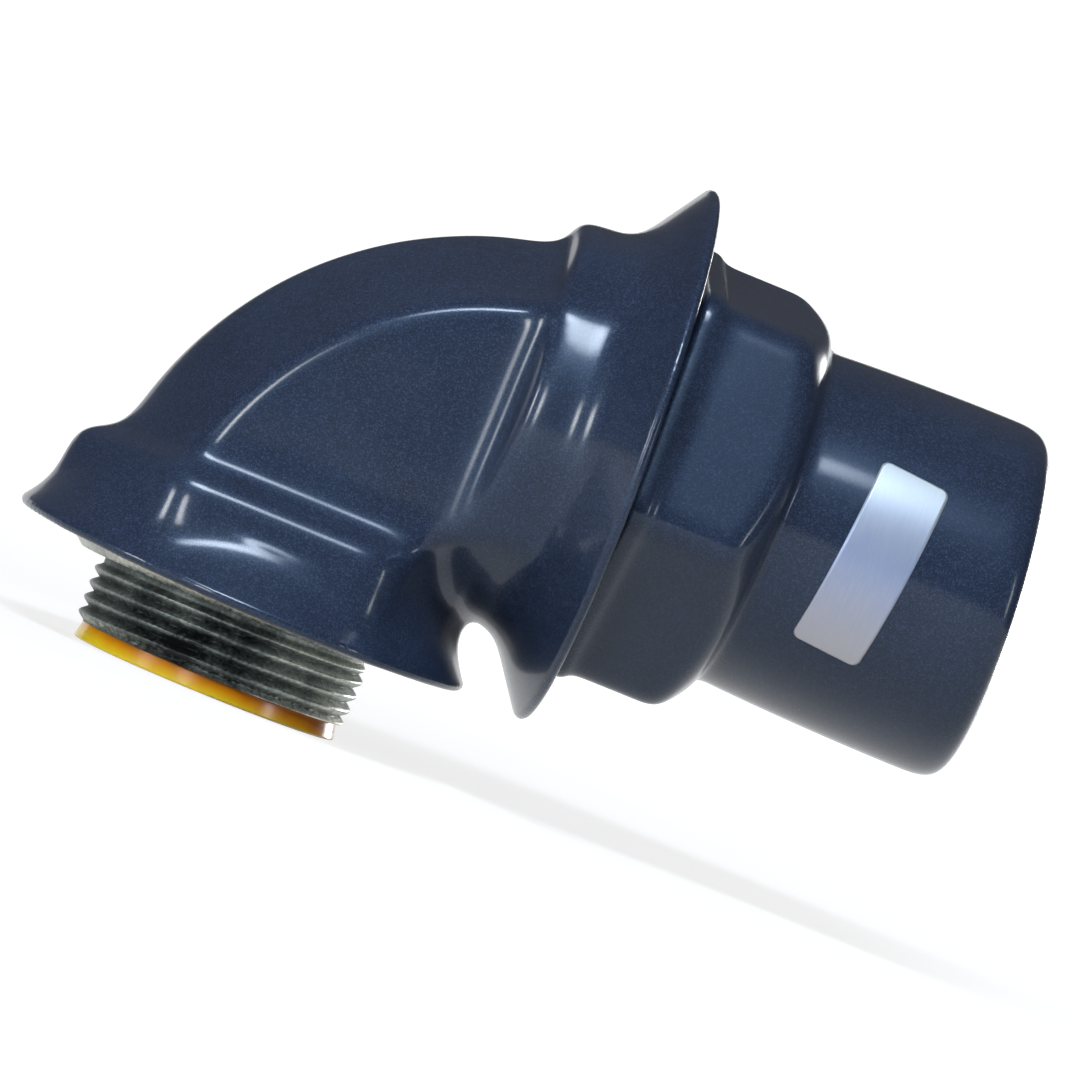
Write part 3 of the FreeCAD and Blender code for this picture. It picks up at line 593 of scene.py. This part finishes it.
print("wrote the outlet in", len(elbow_tree.nodes), "nodes")

# %% [markdown]
# ## The whole coat of the elbow
# Hub and outlet are joined by a wide fillet in the crook of the elbow. One width all along would be simpler,
# but it would web the two skirts together, so the fillet narrows towards the notch between them.
# The wireway's core is taken out, and the coat grows.

# %% The elbow's coat
ELBOW_LOW, ELBOW_HIGH = (-36, -42, -0.5), (46, 42, 83)
write_formulas(elbow_tree, names, {
    "fillet": "notch_fillet + crook_fillet * minimum(maximum((crook_x - x) / crook_run, 0), 1)",
    "solid": "smooth_min(hub, outlet, fillet)",
    "surface": "maximum(solid + uneven, core - sqrt(across * across + y * y))",
})
grow_coat(elbow_tree, names["surface"], ELBOW_LOW, ELBOW_HIGH, iron)
elbow_coat = run_tree("elbow_coat", elbow_tree, ELBOW, copies["elbow_casting"].data)

# %% [markdown]
# ## The sleeve's shape
# The nut's coat runs on as a long sleeve that grips the conduit. A dipped sleeve isn't a true cylinder: it
# widens slightly and bellies out. One formula gives its radius along X, and it is kept as text, because the
# label has to lie on the same curve.

# %% The sleeve's radius
SLEEVE = (
    "sleeve_root + (x - nut_end) * taper"
    " + belly * (1 - (x - belly_x) * (x - belly_x) / belly_half / belly_half)"
)
SLEEVE_SIZES = DIPS | {
    "axis_height": AXIS_HEIGHT, "nut_end": 64.7, "sleeve_root": 25.35, "taper": 0.0267, "belly": 0.45,
    "belly_x": 84.0, "belly_half": 20.0,
}
sleeve_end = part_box("nut_jacket")[1][0] / MM
sleeve_bore = conduit_entry["dims"]["r_mm"]
print("the sleeve ends at", round(sleeve_end, 2), "mm and takes a conduit of", sleeve_bore, "mm radius")

# %% [markdown]
# ## Sizes of the nut's coat
# Under the skirt the nut has a thin coat and then a raised lip, soft hexagon flats, and a chamfer down to the
# sleeve. The thin coat still covers the metal's corners. The nut stopped turning where it was tight, so its
# flats stand at odd angles.

# %% Sizes of the nut's coat
NUT = SLEEVE_SIZES | {
    "nut_flat": 29.2, "nut_face": 27.2, "flat_corner": 4.1, "front_edge": 1.2, "chamfer_edge": 3.0,
    "end_edge": 1.5, "coat_start": 41.3, "thinner": 0.8, "thin_fillet": 0.8,
    "lip_near": 44.0, "lip_far": 46.2, "lip_rise": 0.7, "lip_edge": 1.6, "lip_fillet": 4.0,
    "sleeve_end": sleeve_end, "sleeve_bore": sleeve_bore, "slant": 0.07, "sleeve_rim": 6.6,
    "sleeve_overlap": 8.0, "sleeve_fillet": 3.2, "bore_edge": 1.4, "core": 25.5, "core_end": 62.0,
}
NUT |= slope("chamfer", 35)
NUT_FLATS = [42, 102, 162]
for index, degrees in enumerate(NUT_FLATS):
    NUT |= slope(f"flat_{index}", degrees, digits=4)
nut_tree, iron, names = new_tree("nut_coat", NUT)
names |= place_in_mm(nut_tree)
names["uneven"] = unevenness(nut_tree, names)
write_formulas(nut_tree, names, {
    f"flat_{index}": f"absolute(y * flat_{index}_cos + (z - axis_height) * flat_{index}_sin)"
    for index in range(len(NUT_FLATS))})
print(len(NUT), "sizes for", nut_tree.name)

# %% [markdown]
# ## The nut's coat and its sleeve
# The same way as the elbow's coat: each form is a distance, and smooth minimums and maximums round where
# they meet. The sleeve's end was trimmed not quite square, so the cut is slanted, and its bore stays a true
# cylinder for the conduit.

# %% The nut's coat and its sleeve
NUT_LOW, NUT_HIGH = (40, -35, 6), (105, 35, 76)
write_formulas(nut_tree, names, {
    "outlet_r": "sqrt(y * y + (z - axis_height) * (z - axis_height))",
    "hexagon": "smooth_max(smooth_max(flat_0, flat_1, flat_corner), flat_2, flat_corner) - nut_flat",
    "chamfer": "(x - nut_end) * chamfer_cos + (outlet_r - nut_face) * chamfer_sin",
    "turned": "smooth_max(smooth_max(hexagon, chamfer, chamfer_edge), x - nut_end, end_edge)",
    "nut": "smooth_max(turned, lip_near - x, front_edge)",
    "lip": "smooth_max(smooth_max(hexagon - lip_rise, lip_near - x, lip_edge), x - lip_far, lip_edge)",
    "thin": "maximum(maximum(hexagon + thinner, coat_start - x), x - lip_far)",
    "sleeve_cut": "x - sleeve_end + (z - axis_height + sleeve_root) * slant",
    "sleeve_wall": f"smooth_max(outlet_r - ({SLEEVE}), sleeve_cut, sleeve_rim)",
    "sleeve": "maximum(sleeve_wall, nut_end - sleeve_overlap - x)",
    "lipped": "smooth_min(smooth_min(nut, lip, lip_fillet), thin, thin_fillet)",
    "solid": "smooth_min(lipped, sleeve, sleeve_fillet)",
    "bored": "smooth_max(solid + uneven, sleeve_bore - outlet_r, bore_edge)",
    "surface": "maximum(bored, -maximum(outlet_r - core, x - core_end))",
})
grow_coat(nut_tree, names["surface"], NUT_LOW, NUT_HIGH, iron)
nut_coat = run_tree("nut_coat", nut_tree, NUT, copies["gland_nut"].data)

# %% [markdown]
# ## A ring from a grid
# The hub has a cut taper pipe thread, and the outlet's spigot a parallel one under the nut. A swept groove
# cut by a Boolean leaves edges as sharp as glass. Here a flat grid is wrapped round the axis instead: its
# columns go round, and its rows go along the outer wall, down to the core and back to the first row, which
# closes it.

# %% Rows of the ring
THREAD_ROWS = 96
THREAD_TURN = 288
RING_ROWS = {
    "turn": "x + 0.5",
    "counted": f"(y + 0.5) * {THREAD_ROWS + 3}",
    "row": f"counted * less_than(counted, {THREAD_ROWS + 2.5})",
    "outside": f"less_than(row, {THREAD_ROWS + 0.5})",
    "share": f"outside * row / {THREAD_ROWS} + (1 - outside) * less_than(row, {THREAD_ROWS + 1.5})",
    "along": "start + share * (end - start)",
    "from_start": "share * absolute(end - start)",
    "to_end": "(1 - share) * absolute(end - start)",
}
print("a ring has", THREAD_TURN, "columns and", THREAD_ROWS, "rows of thread")

# %% [markdown]
# ## The thread's wave
# A sine wave would be too round for a cut thread, so a triangle wave that climbs one pitch a turn gives the
# flanks, and a smooth minimum wears the crests down. Towards the shoulder the groove runs out to an even
# depth, a taper thread narrows to its free start, and a chamfer breaks the first edge.

# %% The wall with its thread
THREAD_WALL = {
    "tooth": "pingpong(along / pitch - turn, 0.5) * 2",
    "wave": "smooth_min(tooth * worn, 1, rounding)",
    "cut": "minimum(maximum((to_end - shoulder) / pitch * 2, 0), 1)",
    "groove": "depth * (cut * (1 - wave) + (1 - cut) * relief)",
    "wall": "crest - to_end * taper - groove",
    "outer": "minimum(wall, crest - maximum(chamfer - from_start, 0))",
    "radius": f"(outside * outer + (1 - outside) * core) * {MM}",
    "new_x": f"radius * cosine(turn * {math.tau})",
    "new_y": f"radius * sine(turn * {math.tau})",
    "new_z": f"along * {MM}",
}
SEAM = 0.001 * MM


def ring(tree, sizes, along_outlet):
    """A closed ring from a free start to a shouldered end, whose outer wall carries a thread."""
    grid = add_node(tree, "GeometryNodeMeshGrid", {
        "Size X": 1.0, "Size Y": 1.0, "Vertices X": THREAD_TURN + 1, "Vertices Y": THREAD_ROWS + 4})
    position = add_node(tree, "GeometryNodeInputPosition").outputs[0]
    names = sizes | dict(zip("xyz", add_node(tree, "ShaderNodeSeparateXYZ", {0: position}).outputs))
    write_formulas(tree, names, RING_ROWS | THREAD_WALL)
    point = add_node(tree, "ShaderNodeCombineXYZ", {
        0: names["new_x"], 1: names["new_y"], 2: names["new_z"]})
    moved = add_node(tree, "GeometryNodeSetPosition", {
        "Geometry": grid.outputs[0], "Position": point.outputs[0]})
    faces = add_node(tree, "GeometryNodeMergeByDistance", {"Geometry": moved.outputs[0], "Distance": SEAM})
    if along_outlet:
        # The spigot's ring runs back from its free end, so its faces are turned round.
        faces = add_node(tree, "GeometryNodeFlipFaces", {"Mesh": faces.outputs[0]})
        raised = add_node(tree, "ShaderNodeCombineXYZ", {
            2: write_formula(tree, f"axis_height * {MM}", sizes)}).outputs[0]
        faces = add_node(tree, "GeometryNodeTransform", {
            "Geometry": faces.outputs[0], "Rotation": (0, math.pi / 2, 0), "Translation": raised})
    return faces.outputs[0]


# %% [markdown]
# ## Sizes of the two threads
# The pipe thread has 11.5 turns an inch and a taper of one in sixteen on the diameter. The spigot's is
# parallel, with a 2 mm pitch. Two trees could make them, but they differ only in their sizes, so one table
# holds both. Each also names the plain blank that it stands on, and the tool that turns the CAD cylinder
# down to that blank.

# %% Sizes of the two threads
THREAD_FORM = {
    "axis_height": AXIS_HEIGHT, "worn": 1.25, "rounding": 0.5, "shoulder": 1.0, "relief": 0.9,
    "tool_margin": 2.0,
}
THREADS = {
    "pipe": {
        "start": -10.0, "end": 0.3, "crest": 21.12, "taper": 1 / 32, "pitch": 2.209, "depth": 1.15,
        "core": 19.0, "chamfer": 0.7, "blank": 19.3, "tool_start": -10.7, "tool_end": -0.02},
    "spigot": {
        "start": 50.0, "end": 35.0, "crest": 23.95, "taper": 0.0, "pitch": 2.0, "depth": 0.85,
        "core": 22.6, "chamfer": 0.9, "blank": 22.9, "tool_start": 50.7, "tool_end": 34.8},
}
CASTING = THREAD_FORM | {
    f"{name}_{size}": value for name, thread in THREADS.items() for size, value in thread.items()}
print(len(CASTING), "sizes for the casting's threads")

# %% [markdown]
# ## The casting with its threads
# The casting keeps its CAD shape except where it is threaded. A thread could be drawn as bump, but its crests
# show against the light. So each plain cylinder is turned down to a blank by one Boolean, and the threaded
# ring is joined to it by another, as a lathe and a die would do it.

# %% The casting with its threads
casting_tree, iron, inputs = new_tree("threaded_casting", CASTING)
for name, thread in THREADS.items():
    sizes = {size: inputs[size] for size in THREAD_FORM} | {
        size: inputs[f"{name}_{size}"] for size in thread}
    plain = sizes | {
        "start": sizes["tool_start"], "end": sizes["tool_end"], "core": sizes["blank"],
        "crest": write_formula(casting_tree, "crest + tool_margin", sizes),
        "depth": 0.0, "taper": 0.0, "chamfer": 0.0}
    along_outlet = name == "spigot"
    turned_down = add_node(casting_tree, "GeometryNodeMeshBoolean", {
        "Mesh 1": iron, "Mesh 2": ring(casting_tree, plain, along_outlet)},
        operation="DIFFERENCE", solver="MANIFOLD")
    threaded = add_node(casting_tree, "GeometryNodeMeshBoolean", operation="UNION", solver="MANIFOLD")
    casting_tree.links.new(turned_down.outputs[0], threaded.inputs["Mesh 2"])
    casting_tree.links.new(ring(casting_tree, sizes, along_outlet), threaded.inputs["Mesh 2"])
    iron = threaded.outputs[0]
end_tree(casting_tree, iron, galvanised)
casting = run_tree("threaded_casting", casting_tree, CASTING, copies["elbow_casting"].data)
for scrap in copies.values():
    bpy.data.objects.remove(scrap)

# %% [markdown]
# ## The label, flat
# A bare silver foil label is stuck on the sleeve, a little askew. A Shrinkwrap could lay a flat mesh on it,
# but the sleeve's radius is known as a formula. So a grid is narrowed at its ends for the round corners,
# turned a few degrees, and its height becomes an arc round the sleeve.

# %% The label on the sleeve's curve
LABEL_TILT = math.radians(5.5)
LABEL_COLUMNS, LABEL_ROWS = 25, 181
LABEL = SLEEVE_SIZES | {
    "half_width": 5.25, "half_length": 14.8, "corner": 1.2, "centre": 79.7, "drop": 0.8, "lift": 0.04,
    "tilt_cos": math.cos(LABEL_TILT), "tilt_sin": math.sin(LABEL_TILT),
}
label_tree, _, names = new_tree("foil_label", LABEL)
grid = add_node(label_tree, "GeometryNodeMeshGrid", {
    "Size X": 2.0, "Size Y": 2.0, "Vertices X": LABEL_COLUMNS, "Vertices Y": LABEL_ROWS})
position = add_node(label_tree, "GeometryNodeInputPosition").outputs[0]
flat = add_node(label_tree, "ShaderNodeSeparateXYZ", {0: position})
names |= {"u": flat.outputs[0], "v": flat.outputs[1]}
write_formulas(label_tree, names, {
    "to_edge": "minimum(half_length * (1 - absolute(v)), corner)",
    "narrow": "corner - sqrt(maximum(corner * corner - (corner - to_edge) * (corner - to_edge), 0))",
    "flat_x": "u * (half_width - narrow)",
    "flat_y": "v * half_length",
    "x": "centre + flat_x * tilt_cos + flat_y * tilt_sin",
    "arc": "flat_y * tilt_cos - flat_x * tilt_sin - drop",
    "radius": f"{SLEEVE} + lift",
    "new_x": f"x * {MM}",
    "new_y": f"-radius * cosine(arc / radius) * {MM}",
    "new_z": f"(axis_height + radius * sine(arc / radius)) * {MM}",
})
print(len(LABEL), "sizes for", label_tree.name)

# %% [markdown]
# ## The label, laid on the coat
# The coat under the label is slightly uneven, and foil follows what it is stuck on, so the same noise moves
# it. The foil's thickness could be modelled as a second sheet, but Solidify adds it, with its edges closed.

# %% Foil label
FOIL = 0.1 * MM
point = add_node(label_tree, "ShaderNodeCombineXYZ", {
    0: names["new_x"], 1: names["new_y"], 2: names["new_z"]})
wrapped = add_node(label_tree, "GeometryNodeSetPosition", {
    "Geometry": grid.outputs[0], "Position": point.outputs[0]})
normal = add_node(label_tree, "GeometryNodeInputNormal").outputs[0]
dip = write_formula(label_tree, f"-dip * {MM}", {"dip": unevenness(label_tree, names)})
out = add_node(label_tree, "ShaderNodeVectorMath", {0: normal, "Scale": dip}, operation="SCALE")
laid = add_node(label_tree, "GeometryNodeSetPosition", {
    "Geometry": wrapped.outputs[0], "Offset": out.outputs[0]})
end_tree(label_tree, laid.outputs[0], satin_foil)
label = run_tree("silver_label", label_tree, LABEL)
foil = label.modifiers.new("foil", "SOLIDIFY")
foil.thickness = FOIL
foil.offset = 1.0

# %% [markdown]
# ## What the CAD gives as it is
# The bushing, ferrule, sealing ring and metal nut are turned or moulded to plain forms, and their CAD meshes
# are already right. Remodelling them would add nothing, so they only get their finishes.

# %% Finishes of the CAD nodes that stay
for node, finish in {"insulated_throat": amber_nylon, "grounding_ferrule": plated_steel,
                     "sealing_ring": natural_nylon, "gland_nut": galvanised}.items():
    frame["nodes"][node].material_slots[0].material = finish
    print(node, "is", finish.name)

# %% [markdown]
# ## What moves with what
# On the real fitting the nut unscrews with its coat and its label, and the elbow stays. Parenting by hand
# would do it, but the frame already has one body for each moving group, so each new piece rides on a body by
# name, stands for the CAD node that it hides, and names the slot that its finish belongs to.

# %% Every new piece rides on its body
for piece, body, node, slot in [
    (elbow_coat, "fitting", "body_jacket", "pvc_coat"),
    (casting, "fitting", "elbow_casting", "galvanised_iron"),
    (nut_coat, "nut", "nut_jacket", "pvc_coat"),
    (label, "nut", "foil_label", "foil"),
]:
    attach(piece, body)
    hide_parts(node)
    print(piece.name, "rides", body)

# %% [markdown]
# ## White paper
# The part stands on a pale floor in front of a white backdrop. Strong lamps could bleach them white, but they
# would wash out the part too. So the paper adds a glow of its own, only for rays that are seen, directly, in
# a reflection or through glass. It looks white, adds no diffuse light, and keeps the part's shadow.

# %% White paper
def white_paper(name, glow):
    """White paper that looks as white as its glow makes it. The glow is a formula of the distance out."""
    material, tree, sockets, place = new_material(
        name, Roughness=0.9, Base_Color=linear("#8c8c8c"), Emission_Color=(1, 1, 1, 1))
    path = add_node(tree, "ShaderNodeLightPath").outputs
    names = {"camera": path["Is Camera Ray"], "glossy": path["Is Glossy Ray"],
             "through": path["Is Transmission Ray"]}
    names["far"] = add_node(tree, "ShaderNodeVectorMath", {0: place}, operation="LENGTH").outputs["Value"]
    seen = write_formula(tree, f"maximum(maximum(camera, glossy), through) * ({glow})", names)
    tree.links.new(seen, sockets["Emission Strength"])
    return material


# %% [markdown]
# ## Floor and backdrop
# The floor is a wide disc at the part's lowest point, and the backdrop a sheet behind it. A curved studio
# sweep would also hide the horizon, but the camera is almost level, so two flat sheets are enough. The
# floor's glow is a little lower close to the part, which leaves room for the shadow.

# %% Floor and backdrop
FLOOR = cad_box[0][2]
FLOOR_RADIUS = 2.5
RIM_STEPS = 96
NEAR_GLOW, FAR_GLOW = 0.76, 0.97
GLOW_START, GLOW_RUN = 0.12, 0.5
BACKDROP_Y, BACKDROP_HALF, BACKDROP_TOP = 1.7, 1.2, 0.4
BACKDROP_FOOT = FLOOR - 0.1


def new_stage(name, corners, material):
    """One flat sheet of the stage, which isn't part of the object."""
    mesh = bpy.data.meshes.new(name)
    mesh.from_pydata(corners, [], [range(len(corners))])
    mesh.materials.append(material)
    new_piece(name, mesh)
    print(name, "has", len(corners), "corners")


rim = [math.tau * step / RIM_STEPS for step in range(RIM_STEPS)]
floor_glow = (f"{NEAR_GLOW} + {FAR_GLOW - NEAR_GLOW:.2f} * "
              f"minimum(maximum((far - {GLOW_START}) / {GLOW_RUN}, 0), 1)")
new_stage("floor", [(FLOOR_RADIUS * math.cos(a), FLOOR_RADIUS * math.sin(a), FLOOR) for a in rim],
          white_paper("floor_paper", floor_glow))
new_stage("backdrop", [
    (-BACKDROP_HALF, BACKDROP_Y, BACKDROP_FOOT), (BACKDROP_HALF, BACKDROP_Y, BACKDROP_FOOT),
    (BACKDROP_HALF, BACKDROP_Y, BACKDROP_TOP), (-BACKDROP_HALF, BACKDROP_Y, BACKDROP_TOP)],
    white_paper("backdrop_paper", "1"))

# %% [markdown]
# ## The room
# A dark glossy coat shows what is round it, and an evenly white room would wash it out. So the world is dim,
# and only a little lighter overhead, as a room with a pale ceiling is.

# %% The dim room
ROOM_LEVEL = 0.04
CEILING_MORE = 0.12
world = bpy.data.worlds.new("dim_room")
scene.world = world
world.use_nodes = True
tree = world.node_tree
sky = tree.nodes["Background"].inputs
sky["Color"].default_value = (1.0, 1.0, 1.0, 1.0)
direction = add_node(tree, "ShaderNodeTexCoord").outputs["Generated"]
height = add_node(tree, "ShaderNodeSeparateXYZ", {0: direction}).outputs[2]
brightness = write_formula(tree, f"{ROOM_LEVEL} + {CEILING_MORE} * maximum(height, 0)", {"height": height})
tree.links.new(brightness, sky["Strength"])
print("made", world.name)

# %% [markdown]
# ## Lamps
# On gloss a lamp is seen as its own reflection. A plain area lamp shows as a hard-edged patch, so each panel
# fades out to its edges, as a real softbox does, and its mean brightness stays one.
# The key makes the highlights along collar and sleeve, windows at both sides lift the flats, a low lamp
# reaches the amber band under the skirt, and one lamp behind shows the back.

# %% Softboxes
AIM = Vector((36.93, 0, 25.44)) * MM
PANEL_FADE = "36 * u * (1 - u) * v * (1 - v)"


def softbox(name, towards, distance, size, power, colour="#ffffff"):
    """An area lamp that stands towards some direction from the part. Its panel fades out to its edges."""
    light = bpy.data.lights.new(name, "AREA")
    light.shape = "RECTANGLE"
    light.size, light.size_y = size
    light.energy = power
    light.color = linear(colour)[:3]
    light.use_nodes = True
    tree = light.node_tree
    panel = add_node(tree, "ShaderNodeNewGeometry").outputs["Parametric"]
    names = dict(zip("uv", add_node(tree, "ShaderNodeSeparateXYZ", {0: panel}).outputs))
    tree.links.new(write_formula(tree, PANEL_FADE, names), tree.nodes["Emission"].inputs["Strength"])
    lamp = bpy.data.objects.new(name, light)
    scene.collection.objects.link(lamp)
    lamp.location = AIM + Vector(towards).normalized() * distance
    lamp.rotation_euler = (AIM - lamp.location).to_track_quat("-Z", "Y").to_euler()
    print(name, power, "W")


softbox("key", towards=(-0.158, -0.665, 0.73), distance=0.9, size=(0.5, 0.2), power=7.0, colour="#e2efff")
softbox("left_window", towards=(-0.4, -0.91, 0.15), distance=0.95, size=(0.2, 0.35), power=2.8)
softbox("low_left", towards=(-0.85, -0.5, 0.12), distance=0.9, size=(0.25, 0.25), power=2.5)
softbox("right_window", towards=(0.8, -0.55, 0.2), distance=0.9, size=(0.15, 0.35), power=0.8)
softbox("back_window", towards=(0.6, 0.8, 0.12), distance=1.1, size=(0.3, 0.45), power=4.8)

# %% [markdown]
# ## The camera
# The fitting lies turned in the picture. Turning the part would break its frame, so the camera is rolled and
# stands almost level with it. A Track To constraint would lose the roll, so the camera's axes are worked out.
# The lens follows from how many pixels a millimetre takes up at the fitting's distance.

# %% Camera
AZIMUTH, ELEVATION, ROLL = (math.radians(angle) for angle in (-5.43, 0.80, 22.29))
DISTANCE = 1.1687
PIXELS_PER_MM = 6.935
SENSOR, FRAME_PIXELS = 36.0, 1080
level = math.cos(ELEVATION)
back = Vector((math.sin(AZIMUTH) * level, -math.cos(AZIMUTH) * level, math.sin(ELEVATION)))
right = Vector((math.cos(AZIMUTH), math.sin(AZIMUTH), 0))
up = back.cross(right)
image_right = right * math.cos(ROLL) + up * math.sin(ROLL)
image_up = up * math.cos(ROLL) - right * math.sin(ROLL)
camera_data = bpy.data.cameras.new("camera")
camera_data.sensor_width = SENSOR
camera_data.lens = PIXELS_PER_MM * DISTANCE / MM * SENSOR / FRAME_PIXELS
camera_data.clip_start = 0.01
camera_data.clip_end = 50
camera = bpy.data.objects.new("camera", camera_data)
scene.collection.objects.link(camera)
turn = Matrix((image_right, image_up, back)).transposed().to_4x4()
camera.matrix_world = Matrix.Translation(AIM + back * DISTANCE) @ turn
scene.camera = camera
scene.view_settings.view_transform = "Standard"
print("lens", round(camera_data.lens, 1), "mm")
